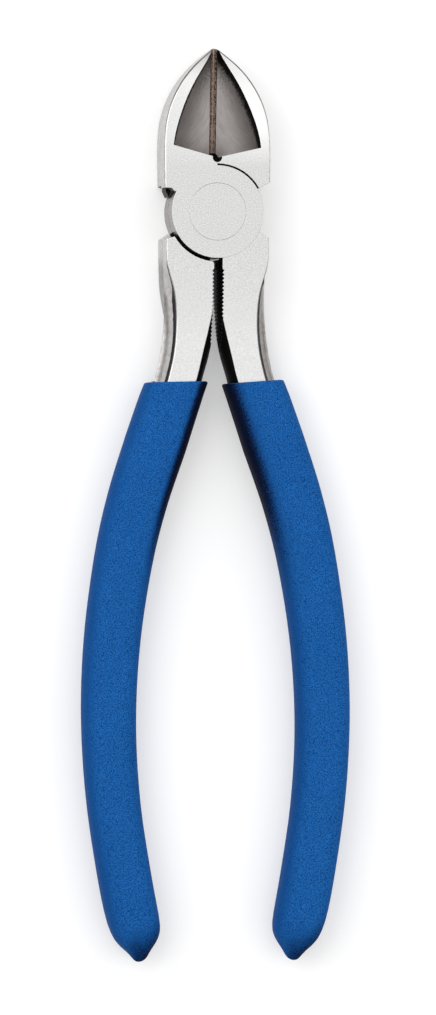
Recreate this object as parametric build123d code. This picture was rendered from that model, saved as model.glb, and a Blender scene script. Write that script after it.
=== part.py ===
"""Diagonal cutting pliers: two forged halves on a riveted lap joint, with dipped plastic grips.

Frame: the origin is on the pivot axis, at the plane that the pliers lie on. +Y runs to the
jaw tips, +X to the right seen from above, and +Z up through the front face. All lengths are in
millimetres and all angles in degrees. The pliers are closed.

Each half is a jaw, a lap plate of half the head's thickness and a handle on the other side.
The front half has the left jaw and the right handle; the rear half is the same forging turned
over about Y. Both jaws are then ground hollow on the side that becomes the front.
"""

import math
import os

from build123d import *

# Head and joint
HEAD_THICKNESS = 11.0
MID_Z = HEAD_THICKNESS / 2
LAP_GAP = 0.06
BOSS_RADIUS = 9.25
JAW_RECESS_RADIUS = 9.6
RIGHT_RECESS_RADIUS = 9.5
LEFT_RECESS_RADIUS = 10.0
EDGE_GAP = 0.02
OUTER_ROUND = 0.35
CORNER_ROUND = 0.6
RECESS_CORNER = (0.5, -9.95)

# Side profile: flat faces over the joint, thinner to the tips and to the handles
TIP_FRONT_Z = 7.4
TIP_REAR_Z = 3.6
TIP_FRONT_WAY = (-0.72, 0.69)
TIP_REAR_WAY = (0.93, 0.36)
FRONT_TAPER_Y = 20.0
REAR_TAPER_Y = 10.0
NECK_TAPER_START_Y = -9.0
NECK_TAPER_END_Y = -25.0
TANG_THICKNESS = 7.8

# Outer side of the closed jaws, from the tip to below the pivot
TIP_Y = 32.8
JAW_SIDE = [(0.5, 32.65), (2.4, 31.1), (4.5, 29.2), (6.4, 27.0), (8.0, 24.5), (9.3, 21.7), (10.2, 18.5),
            (10.65, 14.5), (10.7, 10.0), (10.62, 5.0), (10.5, 0.0)]
# Ends beside the boss: of the right jaw, and of the left one in its front and rear layers
RIGHT_JAW_END = [(8.0, 4.45), (10.7, 5.88)]
LEFT_JAW_END = [(8.0, 4.0), (8.75, 4.15), (9.2, 4.7), (10.7, 4.8)]
LEFT_JAW_REAR_END = [(8.0, 3.0), (9.15, 3.1), (9.7, 4.3), (9.7, 4.95), (10.7, 5.3)]
# Ends of the handle: in the lap plate's layer and in the other
HANDLE_END_ON_LAP = [(8.0, -3.75), (9.2, -4.55), (10.35, -5.35)]
HANDLE_END = [(8.0, -4.8), (10.3, -5.4)]

# Cutting edges: they lie deep at the throat and nearer the front at the tips
EDGE_LAND = 0.12
THROAT_Y = 10.8
EDGE_Z_AT_THROAT = 2.9
EDGE_Z_AT_TIP = 6.0
BEVEL_WIDTH = 0.65
BEVEL_RISE = 0.85
HOLLOW_SAG = 0.13
LEFT_CORNER_Y = 13.3
RIGHT_CORNER_Y = 12.75
REAR_BEVEL_ANGLE = 25.0
REAR_BEVEL_Y = 9.9
RELIEF_RADIUS = 0.95
RELIEF_DEPTH = 6.5
# Where the hollow meets the front face: y, distance from the cutting plane
HOLLOW_RIM = [(9.0, 9.35), (13.0, 8.85), (17.0, 8.1), (21.0, 6.8), (25.0, 5.0), (29.0, 2.6),
              (31.5, 1.1), (34.0, 0.4)]

# Rivet
RIVET_HEAD_RADIUS = 5.75
RIVET_SHANK_RADIUS = 4.0
RIVET_HEAD_HEIGHT = 2.0
RIVET_CHAMFER = 0.05
RUNNING_CLEARANCE = 0.05

# Neck of each handle
NECK_HALF_WIDTH = 10.35
NECK_REAR_HALF_WIDTH = 10.5
NECK_STEP = 0.03
# Inner side of the right neck in its front and rear layers, and of the left neck
RIGHT_INNER_X = 1.0
RIGHT_REAR_INNER_X = 0.4
LEFT_INNER_X = 0.75
TOOTH_PITCH = 0.78
TOOTH_DEPTH = 0.35
TOOTH_COUNT = 19
FIRST_TOOTH_Y = -11.4
SCOOP_SAG = 0.13
BULGE_SAG = 0.1
LEAST_SAG = 0.001
EDGE_ROUND = 0.25
# Right neck: y, then the outer side at the front face, at mid thickness and at the rear face, then
# the inner side at both faces and at mid thickness
NECK = [(y, NECK_HALF_WIDTH, NECK_HALF_WIDTH, NECK_REAR_HALF_WIDTH, 0.0, 0.0)
        for y in (1.0, -2.3, -5.5, -8.6)]
NECK += [(-11.7, 9.92, 10.3, 10.47, 0.1, 0.0), (-15.0, 9.0, 10.15, 10.4, 0.25, 0.1),
         (-18.5, 8.38, 10.1, 10.0, 0.65, 0.1), (-22.0, 8.2, 10.2, 9.5, 1.35, 0.25),
         (-26.0, 8.38, 10.6, 9.35, 2.35, 0.6), (-30.0, 9.0, 11.25, 9.7, 3.3, 1.5),
         (-34.0, 10.0, 12.3, 10.4, 4.35, 2.65), (-38.0, 11.35, 13.65, 11.6, 5.4, 3.65)]

# Handles: the right one's centreline, from above the lip to the grip's point
HANDLE_LINE = [(4.2, -26.0), (7.7, -34.5), (11.6, -45.7), (15.7, -57.7), (18.55, -69.7), (20.85, -85.7),
               (21.6, -101.7), (20.7, -117.7), (18.35, -133.7), (15.4, -149.8)]
LIP_X = 8.0
LIP_Y = -33.9
RIGHT_LIP_SLANT = 4.0
LEFT_LIP_SLANT = -1.0
GRIP_TOP_WIDTH = 12.4
GRIP_LOW_WIDTH = 10.3
GRIP_THICKNESS = HEAD_THICKNESS
GRIP_CORNER = 4.4
GRIP_POINT = 9.0
# How the end of the grip narrows: distance from its point, share of the full width and thickness
POINT_SHAPE = [(9.0, 1.0), (7.5, 0.97), (6.0, 0.92), (4.9, 0.84), (3.75, 0.72), (2.8, 0.58), (2.0, 0.46),
               (1.3, 0.37), (0.7, 0.28), (0.25, 0.17), (0.03, 0.06)]
TANG_SHARES = (0.08, 0.955)
TANG_CORNER = 2.4
TANG_STATIONS = 9
GRIP_STATIONS = 10
SIDE_COAT = 1.35

FAR = 60.0


def polygon(*points):
    """Face of straight edges through the points."""
    return make_face(Polyline(*points, close=True))


def slab(face, low, high):
    """Solid from a face in the XY plane, between two heights."""
    return extrude(Pos(0, 0, low) * face, amount=high - low)


def disc(radius, low, high):
    """Cylinder on the pivot axis between two heights."""
    return slab(Circle(radius), low, high)


def turned_over(solid):
    """The solid turned over about Y at mid thickness."""
    return Pos(0, 0, MID_Z) * Rot(0, 180, 0) * Pos(0, 0, -MID_Z) * solid


def flipped_z(solid):
    """The solid mirrored through the middle plane of the thickness."""
    return mirror(solid, Plane.XY.offset(MID_Z))


def side_profile():
    """Everything between the two ground faces, seen from the side and long in X."""
    top, tang_low, tang_high = HEAD_THICKNESS, MID_Z - TANG_THICKNESS / 2, MID_Z + TANG_THICKNESS / 2
    beyond = TIP_Y + 1.0
    start, end = NECK_TAPER_START_Y, NECK_TAPER_END_Y
    back, ahead = (-1, 0), (1, 0)
    with BuildPart() as part:
        with BuildSketch(Plane.YZ):
            with BuildLine():
                Spline((beyond, TIP_FRONT_Z), (FRONT_TAPER_Y, top), tangents=[TIP_FRONT_WAY, back])
                Line((FRONT_TAPER_Y, top), (start, top))
                Spline((start, top), (end, tang_high), tangents=[back, back])
                Polyline((end, tang_high), (-FAR, tang_high), (-FAR, tang_low), (end, tang_low))
                Spline((end, tang_low), (start, 0), tangents=[ahead, ahead])
                Line((start, 0), (REAR_TAPER_Y, 0))
                Spline((REAR_TAPER_Y, 0), (beyond, TIP_REAR_Z), tangents=[ahead, TIP_REAR_WAY])
                Line((beyond, TIP_REAR_Z), (beyond, TIP_FRONT_Z))
            make_face()
        extrude(amount=FAR / 2, both=True)
    return part.part


def jaw_face():
    """Outline of the right jaw of a closed pair, down to the level of the pivot."""
    rest = Polyline(JAW_SIDE[-1], (EDGE_GAP, 0), (EDGE_GAP, TIP_Y), JAW_SIDE[0])
    return make_face(Spline(*JAW_SIDE) + rest)


def jaw():
    """Left jaw of full thickness with its outer edges eased, down to the level of the pivot."""
    block = mirror(slab(jaw_face(), 0, HEAD_THICKNESS), Plane.YZ) & side_profile()
    return ease(block, lambda c: c.X < -1.0 and c.Y > RIGHT_JAW_END[0][1], OUTER_ROUND)


def ease(block, chosen, radius):
    """Round the long edges whose middles are chosen."""
    edges = [e for e in block.edges() if e.bounding_box().size.Y > 1.0 and chosen(e.center())]
    return fillet(edges, radius)


def across(y, wire):
    """Face of a wire drawn in X and Z, standing at y."""
    plane = Plane(origin=(0, y, 0), x_dir=(1, 0, 0), z_dir=(0, -1, 0))
    return plane * make_face(wire)


def arc_between(start, end, sag):
    """Arc from start to end that bows to the right of its chord by sag times the chord's length."""
    (x0, z0), (x1, z1) = start, end
    middle = ((x0 + x1) / 2 + sag * (z1 - z0), (z0 + z1) / 2 - sag * (x1 - x0))
    return ThreePointArc(start, middle, end)


def neck_front_z(y):
    """Height of the neck's front face at y."""
    share = (NECK_TAPER_START_Y - y) / (NECK_TAPER_START_Y - NECK_TAPER_END_Y)
    share = min(1.0, max(0.0, share))
    return HEAD_THICKNESS - (HEAD_THICKNESS - TANG_THICKNESS) / 2 * share * share * (3 - 2 * share)


def neck_section(y, outer, outer_ridge, outer_rear, inner, inner_ridge):
    """Section of the right neck: flat faces, a scooped outer side and a bulging inner side."""
    high = neck_front_z(y) - NECK_STEP
    low = HEAD_THICKNESS - high
    scoop = SCOOP_SAG * min(1.0, outer_ridge - outer) + LEAST_SAG
    rear_scoop = SCOOP_SAG * min(1.0, outer_ridge - outer_rear) + LEAST_SAG
    bulge = -BULGE_SAG * min(1.0, inner - inner_ridge) - LEAST_SAG
    wall = Line((inner, high), (outer, high)) + Line((outer_rear, low), (inner, low))
    wall += arc_between((outer, high), (outer_ridge, MID_Z), scoop)
    wall += arc_between((outer_ridge, MID_Z), (outer_rear, low), rear_scoop)
    wall += arc_between((inner, low), (inner_ridge, MID_Z), bulge)
    wall += arc_between((inner_ridge, MID_Z), (inner, high), bulge)
    return across(y, wall)


def serration(inner_x):
    """The row of grooves across the right neck's inner face."""
    points = []
    for i in range(TOOTH_COUNT):
        y = FIRST_TOOTH_Y - i * TOOTH_PITCH
        points += [(inner_x, y), (inner_x + TOOTH_DEPTH, y - TOOTH_PITCH / 2)]
    last_y = FIRST_TOOTH_Y - TOOTH_COUNT * TOOTH_PITCH
    points += [(inner_x, last_y), (inner_x - 0.5, last_y), (inner_x - 0.5, FIRST_TOOTH_Y)]
    return slab(polygon(*points), -1, HEAD_THICKNESS + 1)


def neck(inner_x):
    """Right neck of full thickness, up to the level of the pivot, serrated inside."""
    block = loft([neck_section(*station) for station in NECK])
    block = ease(block, lambda c: abs(c.Z - MID_Z) > 1.0, EDGE_ROUND)
    gap = Pos(inner_x - FAR / 2, 0, MID_Z) * Box(FAR, 2 * FAR, FAR)
    return block - gap - serration(inner_x)


def handle_section(line, share, width, thickness, corner):
    """Rounded rectangle across the right handle, share of the way along its line."""
    along = line % share
    plane = Plane(origin=line @ share, x_dir=(-along.Y, along.X, 0), z_dir=along)
    return plane * RectangleRounded(width, thickness, corner)


def handle_width(share):
    """Width of the dipped grip, share of the way along the handle's line."""
    return GRIP_TOP_WIDTH + share * (GRIP_LOW_WIDTH - GRIP_TOP_WIDTH)


def handle_line():
    """Centreline of the right handle at mid thickness."""
    return Spline(*[(x, y, MID_Z) for x, y in HANDLE_LINE])


def tang():
    """Steel inside the right grip."""
    line = handle_line()
    first, last = TANG_SHARES
    faces = []
    for i in range(TANG_STATIONS):
        share = first + (last - first) * i / (TANG_STATIONS - 1)
        width = handle_width(share) - 2 * SIDE_COAT
        faces.append(handle_section(line, share, width, TANG_THICKNESS, TANG_CORNER))
    return loft(faces)


def grip_body():
    """Dipped plastic of the right grip as a solid bar that runs down to a blunt point."""
    line = handle_line()
    point_share = GRIP_POINT / line.length
    faces = []
    for i in range(GRIP_STATIONS):
        share = (1 - point_share) * i / (GRIP_STATIONS - 1)
        faces.append(handle_section(line, share, handle_width(share), GRIP_THICKNESS, GRIP_CORNER))
    point = []
    for distance, scale in POINT_SHAPE:
        share = 1 - distance / line.length
        width, thickness = handle_width(share) * scale, GRIP_THICKNESS * scale
        point.append(handle_section(line, share, width, thickness, GRIP_CORNER * scale))
    return loft(faces) + loft(point, ruled=True)


def beyond_line(points, side_y):
    """Everything on the right that lies beyond an end line through the points, up or down in Y."""
    far_y = math.copysign(FAR, side_y)
    first, last = points[0], points[-1]
    return polygon((0, first[1]), *points, (FAR, last[1]), (FAR, far_y), (0, far_y))


def rounded_corner(solid, place):
    """The solid with its upright edge nearest to the place rounded."""
    upright = solid.edges().filter_by(GeomType.LINE).filter_by(Axis.Z)
    centres = [(e.center().X, e.center().Y) for e in upright]
    nearest = min(range(len(upright)), key=lambda i: math.dist(centres[i], place))
    return fillet(upright[nearest], CORNER_ROUND)


def lap_layer(left_jaw, right_neck, jaw_end, low, high):
    """The lap plate's layer: jaw, round boss and handle in one."""
    layer = left_jaw & slab(mirror(beyond_line(jaw_end, 1), Plane.YZ), low, high)
    layer += right_neck & slab(beyond_line(HANDLE_END_ON_LAP, -1), low, high)
    return layer + disc(BOSS_RADIUS, low, HEAD_THICKNESS)


def other_layer(left_jaw, right_neck, jaw_end, recess_radius, low, high):
    """The layer under the lap plate: jaw and handle, each cut back round the other half's boss."""
    jaw_part = left_jaw & slab(mirror(beyond_line(jaw_end, 1), Plane.YZ), low, high)
    neck_part = right_neck & slab(beyond_line(HANDLE_END, -1), low, high)
    jaw_part = jaw_part - disc(JAW_RECESS_RADIUS, low, high)
    neck_part = rounded_corner(neck_part - disc(recess_radius, low, high), RECESS_CORNER)
    return jaw_part + neck_part


def half(necks, jaw_ends, recess_radius, hollow):
    """Front half: left jaw less the hollow, front lap plate and right handle.

    The necks and the ends of the jaw are given for the lap plate's layer and for the other.
    The handle is cut back to the recess radius round the other half's boss.
    """
    lap_z = MID_Z + LAP_GAP / 2
    left_jaw = jaw()
    upper = lap_layer(left_jaw, necks[0], jaw_ends[0], lap_z, HEAD_THICKNESS + 1)
    lower = other_layer(left_jaw, necks[1], jaw_ends[1], recess_radius, -1, lap_z)
    return (upper + lower + tang()) - hollow


def jaw_front_z(y):
    """Height of the jaws' front face at y."""
    share = max(0.0, (y - FRONT_TAPER_Y) / (TIP_Y + 1.0 - FRONT_TAPER_Y))
    return HEAD_THICKNESS - (HEAD_THICKNESS - TIP_FRONT_Z) * share**2


def edge_z(y):
    """Height of the cutting edge at y."""
    share = (y - THROAT_Y) / (TIP_Y - THROAT_Y)
    return EDGE_Z_AT_THROAT + share * (EDGE_Z_AT_TIP - EDGE_Z_AT_THROAT)


def hollow_section(y, rim):
    """Section of the space ground out of the right jaw's front, from its rim to the cutting edge."""
    bevel = min(BEVEL_WIDTH, 0.7 * rim)
    low = (bevel, edge_z(y) + BEVEL_RISE * bevel / BEVEL_WIDTH)
    edge = (0, edge_z(y) + EDGE_LAND / 2)
    high = (rim, jaw_front_z(y) + 0.02)
    above = HEAD_THICKNESS + 2
    wall = arc_between(high, low, -HOLLOW_SAG)
    lid = Polyline(low, edge, (-1, edge[1]), (-1, above), (rim, above), high)
    return across(y, wall + lid)


def jaw_hollow(corner_y):
    """Space ground out of the right jaw: hollow front face, throat wall and rear bevel."""
    front = loft([hollow_section(y, rim) for y, rim in HOLLOW_RIM])
    corner_x = HOLLOW_RIM[1][1]
    wall = [(-1, THROAT_Y), (0, THROAT_Y), (corner_x, corner_y), (FAR, corner_y)]
    front = front & slab(polygon(*wall, (FAR, FAR), (-1, FAR)), -1, HEAD_THICKNESS + 3)
    spread = math.tan(math.radians(REAR_BEVEL_ANGLE))
    rear = []
    for y in (REAR_BEVEL_Y, TIP_Y + 1):
        land_z = edge_z(y) - EDGE_LAND / 2
        bevel = Polyline((-1, -1), ((land_z + 1) * spread, -1), (0, land_z), (-1, land_z), close=True)
        rear.append(across(y, bevel))
    relief = Pos(0, THROAT_Y, HEAD_THICKNESS) * Cylinder(RELIEF_RADIUS, 2 * RELIEF_DEPTH)
    return front + loft(rear, ruled=True) + relief


def rivet():
    """Shank with a flush head at each face of the joint, held in the front half."""
    whole = disc(RIVET_SHANK_RADIUS, 0, HEAD_THICKNESS) + disc(RIVET_HEAD_RADIUS, 0, RIVET_HEAD_HEIGHT)
    whole += disc(RIVET_HEAD_RADIUS, HEAD_THICKNESS - RIVET_HEAD_HEIGHT, HEAD_THICKNESS)
    rims = whole.edges().filter_by(GeomType.CIRCLE).filter_by(lambda e: e.radius > RIVET_SHANK_RADIUS + 0.1)
    return chamfer([rims.sort_by(Axis.Z)[0], rims.sort_by(Axis.Z)[-1]], RIVET_CHAMFER)


def rivet_hole(clearance):
    """Space for the rivet in both plates, with that much room all round it."""
    depth = RIVET_HEAD_HEIGHT + clearance
    head_radius = RIVET_HEAD_RADIUS + clearance
    hole = disc(RIVET_SHANK_RADIUS + clearance, -1, HEAD_THICKNESS + 1) + disc(head_radius, -1, depth)
    return hole + disc(head_radius, HEAD_THICKNESS - depth, HEAD_THICKNESS + 1)


def grip(steel, lip_slant):
    """Dipped sleeve round the right handle of a half, with a square lip."""
    below = Pos(0, -1.5 * FAR, 0) * Box(FAR, 3 * FAR, FAR)
    below_lip = Pos(LIP_X, LIP_Y, MID_Z) * Rot(0, 0, -lip_slant) * below
    return (grip_body() & below_lip) - steel


def main():
    """Build every node and write it."""
    left_hollow = mirror(jaw_hollow(LEFT_CORNER_Y), Plane.YZ)
    right_necks = neck(RIGHT_INNER_X), neck(RIGHT_REAR_INNER_X)
    left_jaw_ends = LEFT_JAW_END, LEFT_JAW_REAR_END
    front_half = half(right_necks, left_jaw_ends, RIGHT_RECESS_RADIUS, left_hollow)
    right_hollow = turned_over(jaw_hollow(RIGHT_CORNER_Y))
    left_neck = flipped_z(neck(LEFT_INNER_X))
    right_jaw_ends = RIGHT_JAW_END, RIGHT_JAW_END
    rear_blank = half((left_neck, left_neck), right_jaw_ends, LEFT_RECESS_RADIUS, right_hollow)
    nodes = {
        "front_half": front_half - rivet_hole(0.0),
        "rear_half": turned_over(rear_blank - rivet_hole(RUNNING_CLEARANCE)),
        "rivet": rivet(),
        "right_grip": grip(front_half, RIGHT_LIP_SLANT),
        "left_grip": turned_over(grip(rear_blank, LEFT_LIP_SLANT)),
    }
    os.makedirs("parts", exist_ok=True)
    for name, solid in nodes.items():
        export_step(solid, f"parts/{name}.step")


if __name__ == "__main__":
    main()
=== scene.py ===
"""Looks of the diagonal cutting pliers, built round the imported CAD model.

Blender's lengths are in metres; the sizes and places of the pliers' own shapes are named in millimetres.
+Y points to the jaw tips, +X to the right seen from the front and +Z out of the front face.
"""
import math

import bmesh
import bpy
import numpy as np
from mathutils import Matrix, Vector


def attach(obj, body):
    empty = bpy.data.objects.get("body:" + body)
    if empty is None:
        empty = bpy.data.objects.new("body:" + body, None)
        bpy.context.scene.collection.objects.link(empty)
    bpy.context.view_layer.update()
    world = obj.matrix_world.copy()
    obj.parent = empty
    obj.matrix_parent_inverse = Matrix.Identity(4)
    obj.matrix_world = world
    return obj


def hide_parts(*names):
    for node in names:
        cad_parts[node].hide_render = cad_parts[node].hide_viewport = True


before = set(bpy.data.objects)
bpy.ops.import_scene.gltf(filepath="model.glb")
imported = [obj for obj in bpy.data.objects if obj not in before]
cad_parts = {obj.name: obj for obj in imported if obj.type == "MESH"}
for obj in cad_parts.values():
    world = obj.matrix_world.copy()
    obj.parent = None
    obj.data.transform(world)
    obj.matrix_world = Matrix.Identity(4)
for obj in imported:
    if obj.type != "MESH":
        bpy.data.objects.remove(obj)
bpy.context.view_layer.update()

MM = 0.001

# ---------------------------------------------------------------- camera and light

# How far the camera leans to the left, its turn about its own line of sight, and its distance
VIEW_TILT = math.radians(8.3)
VIEW_ROLL = math.radians(-0.2)
VIEW_DISTANCE = 1.6
# What it looks at, and the height of the picture there
VIEW_CENTRE = Vector((-0.147 * MM, -59.05 * MM, 11.0 * MM))
VIEW_HEIGHT = 0.2025
SENSOR = 36.0
CLIP_START = 0.01

# Way in which the studio gets brighter, and its levels along that way
SKY_WAY = (0.02, 0.28, 0.8)
SKY_LEVELS = [(0.0, 0.04), (0.05, 0.04), (0.16, 0.32), (0.4, 1.1), (0.8, 1.24), (1.0, 1.9)]
# Place, aim, size in metres and power in watts
LAMPS = {"key": ((-0.6, 0.2, 0.7), (0, -0.06, 0), 0.8, 3.4),
         "fill": ((0.5, 0.05, 0.3), (0, -0.03, 0), 0.4, 0.3)}

FLOOR_HALF = 2
FLOOR_DROP = 0.02 * MM
FLOOR_GREY = 0.65
FLOOR_GLOW = 0.3
FLOOR_ROUGHNESS = 0.9


def make_camera():
    """Camera above the pliers, leaning over from the left, with +Y up the picture."""
    data = bpy.data.cameras.new("camera")
    data.sensor_width = SENSOR
    data.lens = SENSOR * VIEW_DISTANCE / VIEW_HEIGHT
    data.clip_start = CLIP_START
    camera = bpy.data.objects.new("camera", data)
    lean = Vector((-math.sin(VIEW_TILT), 0, math.cos(VIEW_TILT)))
    camera.location = VIEW_CENTRE + lean * VIEW_DISTANCE
    turn = Matrix.Rotation(-VIEW_TILT, 3, "Y") @ Matrix.Rotation(VIEW_ROLL, 3, "Z")
    camera.rotation_euler = turn.to_euler()
    bpy.context.scene.collection.objects.link(camera)
    bpy.context.scene.camera = camera


def area_light(name, place, aim, size, watts):
    """Square soft light at a place, turned to a point."""
    data = bpy.data.lights.new(name, "AREA")
    data.size = size
    data.energy = watts
    light = bpy.data.objects.new(name, data)
    light.location = place
    light.rotation_euler = (Vector(aim) - Vector(place)).to_track_quat("-Z", "Y").to_euler()
    bpy.context.scene.collection.objects.link(light)


def make_light():
    """White studio tent, dark low down and brighter behind the jaws, with soft lamps on both sides."""
    world = bpy.data.worlds.new("studio")
    bpy.context.scene.world = world
    world.use_nodes = True
    nodes, links = world.node_tree.nodes, world.node_tree.links
    coords = nodes.new("ShaderNodeTexCoord")
    lean = nodes.new("ShaderNodeVectorMath")
    lean.operation = "DOT_PRODUCT"
    lean.inputs[1].default_value = SKY_WAY
    ramp = nodes.new("ShaderNodeValToRGB")
    stops = ramp.color_ramp.elements
    for position, _ in SKY_LEVELS[1:-1]:
        stops.new(position)
    for stop, (_, level) in zip(stops, SKY_LEVELS):
        stop.color = (level, level, level, 1)
    links.new(coords.outputs["Generated"], lean.inputs[0])
    links.new(lean.outputs["Value"], ramp.inputs[0])
    links.new(ramp.outputs[0], nodes["Background"].inputs[0])
    for name, (place, aim, size, watts) in LAMPS.items():
        area_light(name, place, aim, size, watts)


def make_floor():
    """Plain pale floor under the pliers, faintly lit from below."""
    mesh = bpy.data.meshes.new("floor")
    corners = [(-FLOOR_HALF, -FLOOR_HALF, 0), (FLOOR_HALF, -FLOOR_HALF, 0),
               (FLOOR_HALF, FLOOR_HALF, 0), (-FLOOR_HALF, FLOOR_HALF, 0)]
    mesh.from_pydata(corners, [], [(0, 1, 2, 3)])
    floor = bpy.data.objects.new("floor", mesh)
    floor.location.z = -FLOOR_DROP
    bpy.context.scene.collection.objects.link(floor)
    material = bpy.data.materials.new("floor")
    material.use_nodes = True
    shader = material.node_tree.nodes["Principled BSDF"]
    shader.inputs["Base Color"].default_value = (FLOOR_GREY, FLOOR_GREY, FLOOR_GREY, 1)
    shader.inputs["Emission Color"].default_value = (1, 1, 1, 1)
    shader.inputs["Emission Strength"].default_value = FLOOR_GLOW
    shader.inputs["Roughness"].default_value = FLOOR_ROUGHNESS
    shader.inputs["Specular IOR Level"].default_value = 0.0
    mesh.materials.append(material)


# ---------------------------------------------------------------- shader helpers


class Nodes:
    """Short way to build a material's node tree."""

    def __init__(self, name):
        self.material = bpy.data.materials.new(name)
        self.material.use_nodes = True
        self.tree = self.material.node_tree
        self.shader = self.tree.nodes["Principled BSDF"]
        coords = self.tree.nodes.new("ShaderNodeTexCoord")
        self.place = coords.outputs["Object"]
        self.normal = coords.outputs["Normal"]

    def link(self, source, socket):
        """Feed a socket from another node's output, or give it a plain value."""
        if isinstance(source, bpy.types.NodeSocket):
            self.tree.links.new(source, socket)
        else:
            socket.default_value = source

    def math(self, operation, *values):
        """Output of a Math node."""
        node = self.tree.nodes.new("ShaderNodeMath")
        node.operation = operation
        for value, socket in zip(values, node.inputs):
            self.link(value, socket)
        return node.outputs[0]

    def parts(self, vector):
        """X, Y and Z of a vector."""
        node = self.tree.nodes.new("ShaderNodeSeparateXYZ")
        self.link(vector, node.inputs[0])
        return node.outputs[0], node.outputs[1], node.outputs[2]

    def join(self, x, y, z):
        """Vector from three values."""
        node = self.tree.nodes.new("ShaderNodeCombineXYZ")
        for value, socket in zip((x, y, z), node.inputs):
            self.link(value, socket)
        return node.outputs[0]

    def scaled(self, x_factor, y_factor, z_factor):
        """Place on the object in millimetres times the factors."""
        node = self.tree.nodes.new("ShaderNodeMapping")
        self.link(self.place, node.inputs["Vector"])
        node.inputs["Scale"].default_value = [f / MM for f in (x_factor, y_factor, z_factor)]
        return node.outputs[0]

    def millimetres(self):
        """X, Y and Z of the place on the object in millimetres."""
        return self.parts(self.scaled(1, 1, 1))

    def noise(self, vector, detail, roughness=0.6):
        """Noise of one bump per unit of the vector, from 0 to 1."""
        node = self.tree.nodes.new("ShaderNodeTexNoise")
        self.link(vector, node.inputs["Vector"])
        node.inputs["Scale"].default_value = 1.0
        node.inputs["Detail"].default_value = detail
        node.inputs["Roughness"].default_value = roughness
        return node.outputs[0]

    def even_noise(self, bumps_per_mm, detail, roughness=0.6):
        """Noise that is the same size in every direction on the object."""
        return self.noise(self.scaled(bumps_per_mm, bumps_per_mm, bumps_per_mm), detail, roughness)

    def range(self, value, low, high, new_low=0.0, new_high=1.0, way="LINEAR"):
        """Value moved from one range to another, held inside it."""
        node = self.tree.nodes.new("ShaderNodeMapRange")
        node.interpolation_type = way
        for socket, v in zip(node.inputs, (value, low, high, new_low, new_high)):
            self.link(v, socket)
        return node.outputs[0]

    def sides(self, x, left, right):
        """One value on the left half and another on the right."""
        return self.range(x, -1.0, 1.0, left, right)

    def mix(self, share, first, second):
        """Blend of two colours."""
        node = self.tree.nodes.new("ShaderNodeMix")
        node.data_type = "RGBA"
        self.link(share, node.inputs["Factor"])
        self.link(first, node.inputs["A"])
        self.link(second, node.inputs["B"])
        return node.outputs["Result"]

    def curve(self, value, points):
        """Smooth curve through points, whose both numbers lie between 0 and 1."""
        node = self.tree.nodes.new("ShaderNodeFloatCurve")
        self.link(value, node.inputs["Value"])
        line = node.mapping.curves[0].points
        line[0].location, line[1].location = points[0], points[-1]
        for place in points[1:-1]:
            line.new(*place)
        node.mapping.update()
        return node.outputs[0]

    def hypotenuse(self, a, b):
        """Length of the long side over two square ones."""
        return self.math("SQRT", self.math("ADD", self.math("MULTIPLY", a, a), self.math("MULTIPLY", b, b)))

    def all_of(self, *masks):
        """Product of masks."""
        result = masks[0]
        for mask in masks[1:]:
            result = self.math("MULTIPLY", result, mask)
        return result

    def any_of(self, *masks):
        """Largest of masks."""
        result = masks[0]
        for mask in masks[1:]:
            result = self.math("MAXIMUM", result, mask)
        return result

    def above(self, value, limit):
        """1 where the value is above the limit."""
        return self.math("GREATER_THAN", value, limit)

    def below(self, value, limit):
        """1 where the value is below the limit."""
        return self.math("LESS_THAN", value, limit)

    def between(self, value, low, high):
        """1 where the value is between the limits."""
        return self.all_of(self.above(value, low), self.below(value, high))

    def near(self, value, target, reach):
        """1 where the value is within reach of the target."""
        return self.below(self.math("ABSOLUTE", self.math("SUBTRACT", value, target)), reach)

    def bump(self, height, strength, depth, normal=None):
        """Normal bent by a height from 0 to 1 that stands for a depth in millimetres."""
        node = self.tree.nodes.new("ShaderNodeBump")
        self.link(height, node.inputs["Height"])
        node.inputs["Strength"].default_value = strength
        node.inputs["Distance"].default_value = depth * MM
        if normal:
            self.link(normal, node.inputs["Normal"])
        return node.outputs[0]


# ---------------------------------------------------------------- steel

FACE_LIGHT = (0.68, 0.678, 0.675, 1)
FACE_DARK = (0.45, 0.448, 0.445, 1)
# Brighter face colour for the painted reflection on the jaws and necks
FACE_SHEEN = (0.76, 0.758, 0.755, 1)
SIDE_LIGHT = (0.53, 0.515, 0.505, 1)
SIDE_DARK = (0.39, 0.375, 0.365, 1)
HOLLOW_LIGHT = (0.45, 0.42, 0.41, 1)
HOLLOW_DARK = (0.31, 0.285, 0.275, 1)
EDGE_LIGHT = (0.58, 0.48, 0.42, 1)
EDGE_DARK = (0.07, 0.045, 0.035, 1)
BROWN = (0.06, 0.045, 0.035, 1)
BLACK = (0.0, 0.0, 0.0, 1)
# Near black for the painted shade in the steel's gaps, recesses, steep walls and along the hollows' rim
SHADE_BLACK = (0.012, 0.011, 0.011, 1)

# Bumps per millimetre
GRAIN = 4.0
CLOUD = 0.25
SIDE_MOTTLE = 0.9
SPECKLE = (2.6, 2.0, 2.4)
SWIRL_LINES = 5.0
SWIRL_DRIFT = 0.3

HEAD_TOP = 11.0
LAP_Z = 5.5
BOSS_RADIUS = 9.25
SEAM_RADIUS = 9.4
LAP_RADIUS = 9.95
RECESS_RADIUS = 10.3
THROAT_Y = 10.8
THROAT_RADIUS = 1.2
THROAT_DEEP = 10.0
# Half width of the sharpened strip on both sides of the cut
EDGE_STRIP = 0.66
# Middle of the rings that the grinding wheel left in a hollow
SWIRL_CENTRE = (16.0, 26.0)
# Where the hollow meets the front face: y, distance from the cutting plane
RIM_LINE = [(9.0, 9.35), (13.0, 8.85), (17.0, 8.1), (21.0, 6.8), (25.0, 5.0), (29.0, 2.6), (31.5, 1.1),
            (34.0, 0.4)]
RIM_REACH = 10.0
# Stretch of Y over which the painted shade along the rim widens
RIM_SHADE_WIDENS = (12.5, 20.0)
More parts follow.
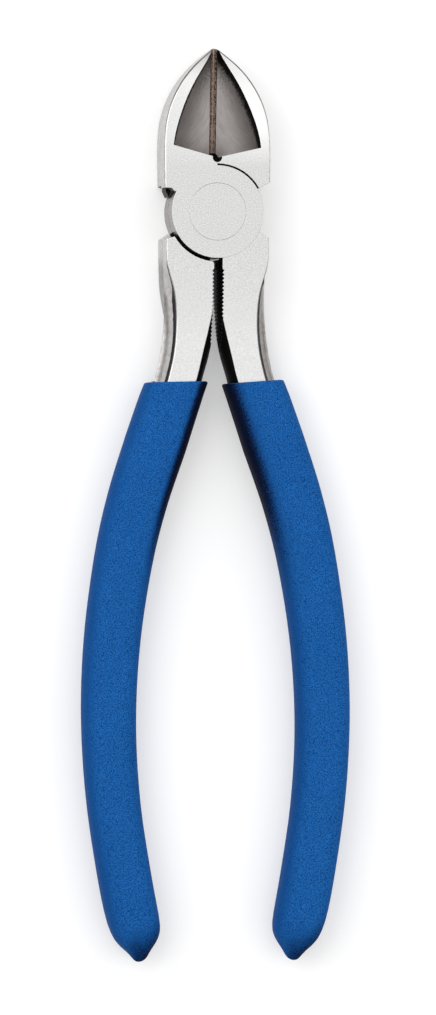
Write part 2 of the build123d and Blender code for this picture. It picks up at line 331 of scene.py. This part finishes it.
# The necks: where they begin, the stretch of Y over which their top sinks, and its height after that
NECK_Y = -9.2
NECK_TAPER = (-9.0, -25.0)
NECK_LOW_TOP = 9.4
# Half width and top of the painted shade on the ground between the necks
CROTCH_HALF = 2.5
CROTCH_TOP = 9.0
# Painted shade on the upper part of the scoops: the stretch of Y over which it sets in, the one over which
# it gets deeper, its depth at the ends of that, and what the right side adds to it
SCOOP_START = (-9.7, -11.0)
SCOOP_DEEPENS = (-12.0, -20.0)
SCOOP_DEPTH = (1.8, 3.4)
SCOOP_RIGHT_EXTRA = 3.0
# Up to this part of the normal along Z a scoop's wall counts as steep, on the left and on the right
SCOOP_STEEP = (0.39, 0.54)
# Stretch of Y over which painted shade darkens the rear layer's outer sides
UNDER_START = (-8.0, -11.0)
# Painted shade on the left jaw's end and the lip under it: from and to, along Y and across
JAW_END_Y = (2.5, 6.0)
JAW_END_ACROSS = 8.0
JAW_LIP_Y = (2.9, 5.4)
JAW_LIP_ACROSS = (8.95, 9.76)
JAW_LIP_TOP = 5.6
# Stretches of Y over which a look sets in
ROUNDING_Y = (14.0, 24.0)
JAW_SHEEN_Y = (9.0, 16.0)
NECK_SHEEN_Y = (-7.0, -18.0)
NECK_BROWN_Y = (-10.0, -13.0)
TIP_DARK_Y = (18.0, 32.0)
# The turned wall of the boss is brown above this Y
BOSS_WALL_Y = -6.0

# Parts of a normal: a flat face, a wall, and a side that faces well away from the middle
FLAT = 0.9
WALL = 0.5
OUTER = 0.3

ROUNDED_EDGE = 0.12
BEVEL_SAMPLES = 6


class SteelPlace:
    """Where a point of the steel lies, in millimetres, and which way it faces."""

    def __init__(self, n):
        self.x, self.y, self.z = n.millimetres()
        nx, self.ny, self.nz = n.parts(n.normal)
        self.across = n.math("ABSOLUTE", self.x)
        self.radius = n.hypotenuse(self.x, self.y)
        self.level = n.math("ABSOLUTE", self.nz)
        self.faces_out = n.math("MULTIPLY", n.math("SIGN", self.x), nx)
        dot = n.math("ADD", n.math("MULTIPLY", self.x, nx), n.math("MULTIPLY", self.y, self.ny))
        self.radial = n.math("DIVIDE", dot, self.radius)


def hollow_masks(n, at):
    """The hollow-ground faces of the jaws, their sharpened strip, and the painted shade along their outer
    rim.
    """
    hollow = n.all_of(n.above(at.y, THROAT_Y + 0.02), n.above(at.nz, 0.02),
                      n.range(at.faces_out, -0.02, -0.08))
    edge = n.all_of(hollow, n.below(at.across, EDGE_STRIP))
    first, last = RIM_LINE[0][0], RIM_LINE[-1][0]
    points = [((y - first) / (last - first), rim / RIM_REACH) for y, rim in RIM_LINE]
    rim_at = n.math("MULTIPLY", n.curve(n.range(at.y, first, last), points), RIM_REACH)
    from_rim = n.math("SUBTRACT", rim_at, at.across)
    width = n.sides(at.x, 0.45, 1.0)
    full = n.all_of(width, n.range(at.y, *RIM_SHADE_WIDENS, 0.2, 0.4))
    none = n.all_of(width, n.range(at.y, *RIM_SHADE_WIDENS, 0.9, 1.8))
    # Painted shade: a near-black band along the hollow's outer rim, wider on the right
    rim_shade = n.range(from_rim, full, none, 1.0, 0.0)
    rim = n.all_of(hollow, rim_shade, n.above(at.across, EDGE_STRIP))
    return hollow, edge, rim


def joint_shade(n, at):
    """Painted shade in the throat, between the layers, in the recesses and along the seam of the bosses."""
    # Painted shade in the hole and the crevices of the joint
    from_throat = n.hypotenuse(at.x, n.math("SUBTRACT", at.y, THROAT_Y))
    deep = n.any_of(n.below(at.level, FLAT), n.below(at.z, THROAT_DEEP))
    throat = n.all_of(n.below(from_throat, THROAT_RADIUS), deep)
    lap = n.all_of(n.near(at.z, LAP_Z, 0.25), n.above(at.level, FLAT), n.below(at.radius, LAP_RADIUS))
    wall = n.below(at.level, WALL)
    recess = n.all_of(n.below(at.radial, -0.6), n.below(at.radius, RECESS_RADIUS), wall)
    seam = n.all_of(n.near(at.z, LAP_Z, 0.1), wall, n.below(at.radius, SEAM_RADIUS))
    return n.any_of(throat, lap, recess, seam)


def neck_shade(n, at):
    """Painted shade between the necks and in the scoops down their outer sides."""
    # Painted shade between the necks, on their steep scoops and on the rear layer's undersides
    below_head = n.below(at.y, NECK_Y)
    crotch = n.all_of(below_head, n.range(at.faces_out, -0.25, -0.5), n.below(at.level, FLAT))
    ledge = n.all_of(below_head, n.below(at.across, CROTCH_HALF), n.below(at.z, CROTCH_TOP))
    outer = n.above(at.faces_out, OUTER)
    top = n.range(at.y, *NECK_TAPER, HEAD_TOP, NECK_LOW_TOP, "SMOOTHSTEP")
    depth = n.math("SUBTRACT", top, at.z)
    deepest = n.range(at.y, *SCOOP_DEEPENS, *SCOOP_DEPTH)
    deepest = n.math("ADD", deepest, n.sides(at.x, 0.0, SCOOP_RIGHT_EXTRA))
    steep = n.math("SUBTRACT", at.nz, n.sides(at.x, *SCOOP_STEEP))
    scoop = n.all_of(n.range(at.y, *SCOOP_START), outer, n.range(steep, 0.02, -0.02),
                     n.range(n.math("SUBTRACT", depth, deepest), 0.15, -0.15))
    under = n.all_of(n.range(at.y, *UNDER_START, 0.0, 0.4), outer, n.below(at.z, LAP_Z))
    return n.any_of(crotch, ledge, scoop, under)


def jaw_shade(n, at):
    """Painted shade on the left jaw's end and the lip under it, and along the jaws' rounded edge."""
    # Painted shade in the notch at the left jaw's end and along the jaws' rounded edges
    left = n.below(at.x, 0.0)
    end = n.all_of(n.between(at.y, *JAW_END_Y), n.above(at.across, JAW_END_ACROSS),
                   n.below(at.ny, -0.4), left)
    lip = n.all_of(n.between(at.y, *JAW_LIP_Y), n.between(at.across, *JAW_LIP_ACROSS),
                   n.below(at.z, JAW_LIP_TOP), left)
    rounding = n.all_of(n.range(at.y, *ROUNDING_Y, 0.0, 0.7), n.above(at.faces_out, 0.1),
                        n.between(at.nz, 0.25, 0.93))
    return n.any_of(end, lip, rounding)


def face_colour(n, at, grain):
    """Ground flat faces, with a painted brighter reflection on the jaws, strongest on the right one, and a
    little on the necks.
    """
    face = n.mix(n.range(grain, 0.37, 0.63), FACE_DARK, FACE_LIGHT)
    # Painted reflection: the jaws, most of all the right one, and the necks are painted brighter
    jaws = n.all_of(n.range(at.y, *JAW_SHEEN_Y), n.range(at.x, -8.0, 8.0, 0.45, 1.0))
    necks = n.range(at.y, *NECK_SHEEN_Y, 0.0, 0.36)
    return n.mix(n.any_of(jaws, necks), face, FACE_SHEEN)


def side_colour(n, at):
    """Forged sides, browner down the right neck and on the turned wall of the boss."""
    mottle = n.even_noise(SIDE_MOTTLE, detail=4)
    side = n.mix(n.range(mottle, 0.35, 0.65), SIDE_DARK, SIDE_LIGHT)
    right = n.above(at.x, 0.0)
    scooped = n.all_of(right, n.range(at.y, *NECK_BROWN_Y, 0.0, 0.47), n.above(at.z, LAP_Z + 0.3))
    turned = n.all_of(n.near(at.radius, BOSS_RADIUS, 0.1), n.above(at.y, BOSS_WALL_Y))
    return n.mix(n.any_of(scooped, n.math("MULTIPLY", turned, 0.58)), side, BROWN)


def hollow_colour(n, at, streak, speckle, rim):
    """Hollow faces with grinding streaks, black specks that thicken towards the tip, and painted shade along
    the rim.
    """
    ground = n.mix(n.range(streak, 0.3, 0.7), HOLLOW_DARK, HOLLOW_LIGHT)
    # Black specks that thicken towards the tip
    tip_dark = n.math("ADD", speckle, n.range(at.y, *TIP_DARK_Y, -0.3, 0.25))
    ground = n.mix(n.range(tip_dark, 0.45, 0.7, 0.0, 0.5), ground, BLACK)
    # Painted shade: the right hollow, which faces the key lamp on the left, is painted darker than the left
    # one
    ground = n.mix(n.range(at.x, -0.5, 0.5, 0.0, 0.28), ground, BLACK)
    ragged = n.math("ADD", rim, n.math("MULTIPLY", n.math("SUBTRACT", speckle, 0.5), 1.2))
    # Painted shade along the rim, broken up by the speckle
    return n.mix(n.math("MULTIPLY", n.range(ragged, 0.3, 0.7), n.above(rim, 0.01)), ground, SHADE_BLACK)


def edge_colour(n, at, speckle):
    """Sharpened strip: speckled brown, bright at the cut and dark where it meets the hollow."""
    brown = n.mix(n.range(speckle, 0.44, 0.56), EDGE_DARK, EDGE_LIGHT)
    brown = n.mix(n.range(at.across, 0.1, 0.22, 0.7, 0.0), brown, EDGE_LIGHT)
    return n.mix(n.range(at.across, EDGE_STRIP - 0.2, EDGE_STRIP - 0.05, 0.0, 0.9), brown, EDGE_DARK)


def steel_material(name):
    """Satin steel: bright ground faces, duller forged sides, hollow jaws and painted shade in the gaps."""
    n = Nodes(name)
    at = SteelPlace(n)
    hollow, edge, rim = hollow_masks(n, at)
    # Painted shade: the joint, the necks and the jaws' ends and edges are painted near black where shadow
    # falls
    painted_shade = n.any_of(joint_shade(n, at), neck_shade(n, at), jaw_shade(n, at))
    away = [n.math("SUBTRACT", value, centre) for value, centre in zip((at.across, at.y), SWIRL_CENTRE)]
    rings = n.join(n.math("MULTIPLY", n.hypotenuse(*away), SWIRL_LINES),
                   n.math("MULTIPLY", at.y, SWIRL_DRIFT), n.math("MULTIPLY", at.x, SWIRL_DRIFT))
    streak = n.noise(rings, detail=5, roughness=0.7)
    grain = n.even_noise(GRAIN, detail=5, roughness=0.75)
    cloud = n.even_noise(CLOUD, detail=3)
    speckle = n.noise(n.scaled(*SPECKLE), detail=4, roughness=0.8)

    plain = n.mix(n.range(at.level, FLAT, 0.99), side_colour(n, at), face_colour(n, at, grain))
    colour = n.mix(hollow, plain, hollow_colour(n, at, streak, speckle, rim))
    colour = n.mix(edge, colour, edge_colour(n, at, speckle))
    n.link(n.mix(painted_shade, colour, SHADE_BLACK), n.shader.inputs["Base Color"])
    n.shader.inputs["Metallic"].default_value = 1.0
    rough = n.range(cloud, 0.3, 0.7, 0.24, 0.34)
    rough = n.math("ADD", rough, n.math("MULTIPLY", hollow, 0.22))
    rough = n.math("ADD", rough, n.math("MULTIPLY", painted_shade, 0.25))
    n.link(rough, n.shader.inputs["Roughness"])
    rounded = n.tree.nodes.new("ShaderNodeBevel")
    rounded.samples = BEVEL_SAMPLES
    rounded.inputs["Radius"].default_value = ROUNDED_EDGE * MM
    fine = n.bump(grain, 0.25, 0.012, rounded.outputs[0])
    n.link(n.bump(n.math("MULTIPLY", streak, hollow), 0.35, 0.03, fine), n.shader.inputs["Normal"])
    return n.material


# ---------------------------------------------------------------- dipped grips

BLUE = (0.015, 0.122, 0.395, 1)
BLUE_DEEP = (0.0015, 0.036, 0.15, 1)
# Near black navy for the painted shade on the grips
GRIP_SHADE_DARK = (0.003, 0.005, 0.018, 1)
# Bumps per millimetre
VINYL_MOTTLE = 4.2
VINYL_PATCHES = (0.12, 0.08, 0.12)
VINYL_SPECULAR = 0.06
VINYL_IOR = 1.25
# Stretches of Y over which the painted shade on the inner sides fades out and the painted shade at the point
# sets in
INNER_SHADE_Y = (-82.0, -50.0)
POINT_Y = (-142.0, -151.0)
# Middle of the right grip, from inside its lip to its point
GRIP_LINE = [(4.3, -26.0), (7.9, -34.5), (11.75, -45.7), (15.7, -57.7), (18.55, -69.7), (20.85, -85.7),
             (21.6, -101.7), (20.7, -117.7), (18.35, -133.7), (15.4, -149.8)]
LINE_STEPS = 40
# Width of a grip at distances below the pivot
GRIP_WIDTHS = [(33.0, 11.6), (38.0, 12.0), (46.0, 12.25), (60.0, 11.85), (76.0, 11.35), (92.0, 11.0),
               (106.0, 10.7), (122.0, 10.5), (150.0, 10.5)]
# End of a grip: distance from its point, then its reach to the outer side, the inner side, and up and down
GRIP_END = [(0.0, 0.0, 0.0, 0.0), (0.06, 0.42, 0.45, 0.4), (0.25, 0.85, 0.92, 0.8), (0.55, 1.15, 1.35, 1.2),
            (1.0, 1.42, 1.75, 1.65), (1.6, 1.75, 2.2, 2.15), (2.3, 2.2, 2.85, 2.7), (3.2, 2.9, 3.7, 3.35),
            (4.2, 3.6, 4.45, 3.95), (5.3, 4.15, 4.95, 4.45), (6.6, 4.55, 5.2, 4.85), (8.5, 4.9, 5.3, 5.2),
            (11.0, 5.1, 5.3, 5.4), (14.0, 5.2, 5.27, 5.5), (18.0, 5.25, 5.25, 5.5)]
GRIP_THICK = 11.0
# How square a section is: 2 is an ellipse
GRIP_SQUARENESS = 3.0
LIP_ROUND = 0.5
GRIP_LIP_Y = -33.9
# Slant of the lips in degrees, and how far down the grip it dies out
RIGHT_LIP_SLANT = 4.0
LEFT_LIP_SLANT = -1.0
LIP_SETTLE = 14.0
RING_POINTS = 64
# Distances of the rings from the lip, then their number on the body and before the point
LIP_STEPS = [0.0, 0.03, 0.08, 0.15, 0.24, 0.34, 0.44, 0.6]
BODY_START = 1.0
BODY_RINGS = 110
END_RINGS = 14
END_CLOSE = 7.0
# Distances of the last rings from the point
POINT_STEPS = [6.4, 5.8, 5.2, 4.6, 4.0, 3.4, 2.8, 2.3, 1.8, 1.4, 1.0, 0.7, 0.45, 0.25, 0.12, 0.05, 0.01]


def grip_material():
    """Dipped vinyl: deep blue, finely speckled, with painted shade on the inner sides near the lips and at
    the points.
    """
    n = Nodes("dipped_vinyl")
    x, y, _ = n.millimetres()
    nx = n.parts(n.normal)[0]
    inner = n.math("MULTIPLY", n.math("MULTIPLY", n.math("SIGN", x), nx), -1.0)
    mottle = n.even_noise(VINYL_MOTTLE, detail=4, roughness=0.75)
    patches = n.noise(n.scaled(*VINYL_PATCHES), detail=3)
    speck = n.math("MULTIPLY", n.math("SUBTRACT", mottle, 0.5), 3.0)

    def ragged(share):
        """Speckle that covers about that share."""
        return n.math("MULTIPLY", n.range(n.math("ADD", share, speck), 0.4, 0.6), n.above(share, 0.02))

    # Painted shade on the inner sides near the lips, where one grip shades the other
    inner_side_shade = n.range(inner, n.sides(x, 0.26, 0.02), n.sides(x, 0.68, 0.86))
    inner_shade = n.all_of(inner_side_shade, n.range(y, *INNER_SHADE_Y))
    # Painted shade on the sides that face -X
    shade = n.math("MULTIPLY", n.range(nx, -0.15, -0.85), 0.42)
    # Painted shade on the right side of each point
    point = n.range(n.math("SUBTRACT", y, n.math("MULTIPLY", nx, 4.0)), *POINT_Y)
    colour = n.mix(n.range(mottle, 0.41, 0.57), BLUE_DEEP, BLUE)
    colour = n.mix(n.range(patches, 0.3, 0.7, 0.0, 0.15), colour, BLUE_DEEP)
    colour = n.mix(n.math("MULTIPLY", ragged(n.any_of(shade, point)), 0.7), colour, BLUE_DEEP)
    colour = n.mix(ragged(n.any_of(inner_shade, n.math("MULTIPLY", point, 0.7))), colour, GRIP_SHADE_DARK)
    n.link(colour, n.shader.inputs["Base Color"])
    n.link(n.range(mottle, 0.3, 0.7, 0.66, 0.52), n.shader.inputs["Roughness"])
    n.shader.inputs["Specular IOR Level"].default_value = VINYL_SPECULAR
    n.shader.inputs["IOR"].default_value = VINYL_IOR
    n.link(n.bump(mottle, 0.7, 0.06), n.shader.inputs["Normal"])
    return n.material


def smooth_line(points):
    """Closely spaced points on a smooth curve through the given ones, and their distances along it."""
    ends = [2 * points[0] - points[1]] + points + [2 * points[-1] - points[-2]]
    dense = []
    for a, b, c, d in zip(ends, ends[1:], ends[2:], ends[3:]):
        for t in np.linspace(0, 1, LINE_STEPS, endpoint=False):
            cubic = (3 * b - a - 3 * c + d) * t**3 + (2 * a - 5 * b + 4 * c - d) * t**2 + (c - a) * t
            dense.append(b + cubic / 2)
    dense = np.array(dense + [points[-1]])
    length = np.concatenate([[0], np.cumsum(np.linalg.norm(np.diff(dense, axis=0), axis=1))])
    return dense, length


def ring(centre, side, outer, inner, half_thick):
    """Closed ring of points on a rounded section that reaches further on one side than the other."""
    points = []
    for i in range(RING_POINTS):
        angle = 2 * math.pi * i / RING_POINTS
        c, s = math.cos(angle), math.sin(angle)
        reach = outer if c > 0 else inner
        u = math.copysign(abs(c) ** (2 / GRIP_SQUARENESS), c) * reach
        w = math.copysign(abs(s) ** (2 / GRIP_SQUARENESS), s) * half_thick
        points.append((centre[0] + side[0] * u, centre[1] + side[1] * u, GRIP_THICK / 2 + w))
    return points


def ring_steps(grip_length):
    """Distances of the rings from the lip: close at the lip and the point, even on the body."""
    blunt = GRIP_END[-1][0]
    body = np.linspace(BODY_START, grip_length - blunt, BODY_RINGS)
    end = grip_length - np.linspace(blunt, END_CLOSE, END_RINGS)[1:]
    point = grip_length - np.array(POINT_STEPS)
    return LIP_STEPS + list(body) + list(end) + list(point)


def grip_rings(lip_slant):
    """Rings of the right grip from its lip to its point."""
    dense, length = smooth_line([np.array(p) for p in GRIP_LINE])
    total = length[-1]
    start = np.interp(-GRIP_LIP_Y, -dense[:, 1], length)
    end_at = [e[0] for e in GRIP_END]
    full_outer, full_inner = GRIP_END[-1][1:3]

    def on_line(distance):
        """Point of the middle line at a distance along it."""
        return np.array([np.interp(distance, length, dense[:, k]) for k in (0, 1)])

    rings = []
    for step in ring_steps(total - start):
        here = start + step
        point = on_line(here)
        way = on_line(here + 1.0) - on_line(here - 1.0)
        way = way / np.linalg.norm(way)
        square = math.atan2(way[0], -way[1])
        turn = square + (math.radians(lip_slant) - square) * max(0.0, 1 - step / LIP_SETTLE) ** 2
        half = np.interp(-point[1], [p[0] for p in GRIP_WIDTHS], [p[1] for p in GRIP_WIDTHS]) / 2
        left = total - here
        outer, inner, half_thick = (np.interp(left, end_at, [e[k] for e in GRIP_END]) for k in (1, 2, 3))
        outer, inner = outer * half / full_outer, inner * half / full_inner
        stretch = 1 / math.cos(turn - square)
        inset = LIP_ROUND - math.sqrt(max(0.0, LIP_ROUND**2 - max(0.0, LIP_ROUND - step) ** 2))
        side = (math.cos(turn), math.sin(turn))
        rings.append(ring(point, side, outer * stretch - inset, inner * stretch - inset, half_thick - inset))
    return rings


def make_grip(name, node, body, mirror, lip_slant, material):
    """Dipped sleeve: rounded lip, swelling body and a drip at the end."""
    mesh = bpy.data.meshes.new(name)
    bm = bmesh.new()
    loops = [[bm.verts.new((mirror * x * MM, y * MM, z * MM)) for x, y, z in points]
             for points in grip_rings(lip_slant)]
    for low, high in zip(loops, loops[1:]):
        for i in range(RING_POINTS):
            j = (i + 1) % RING_POINTS
            bm.faces.new((low[i], low[j], high[j], high[i]))
    bm.faces.new(loops[-1])
    bm.faces.new(list(reversed(loops[0])))
    bmesh.ops.recalc_face_normals(bm, faces=bm.faces)
    bm.to_mesh(mesh)
    bm.free()
    mesh.shade_smooth()
    mesh.materials.append(material)
    piece = bpy.data.objects.new(name, mesh)
    bpy.context.scene.collection.objects.link(piece)
    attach(piece, body)
    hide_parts(node)


# ---------------------------------------------------------------- build

make_camera()
make_light()
make_floor()
steel = steel_material("satin_steel")
for node in ("front_half", "rear_half", "rivet"):
    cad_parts[node].data.materials.clear()
    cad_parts[node].data.materials.append(steel)
vinyl = grip_material()
make_grip("right_grip_skin", "right_grip", "front_body", 1, RIGHT_LIP_SLANT, vinyl)
make_grip("left_grip_skin", "left_grip", "rear_body", -1, LEFT_LIP_SLANT, vinyl)
bpy.context.scene.view_settings.view_transform = "Standard"
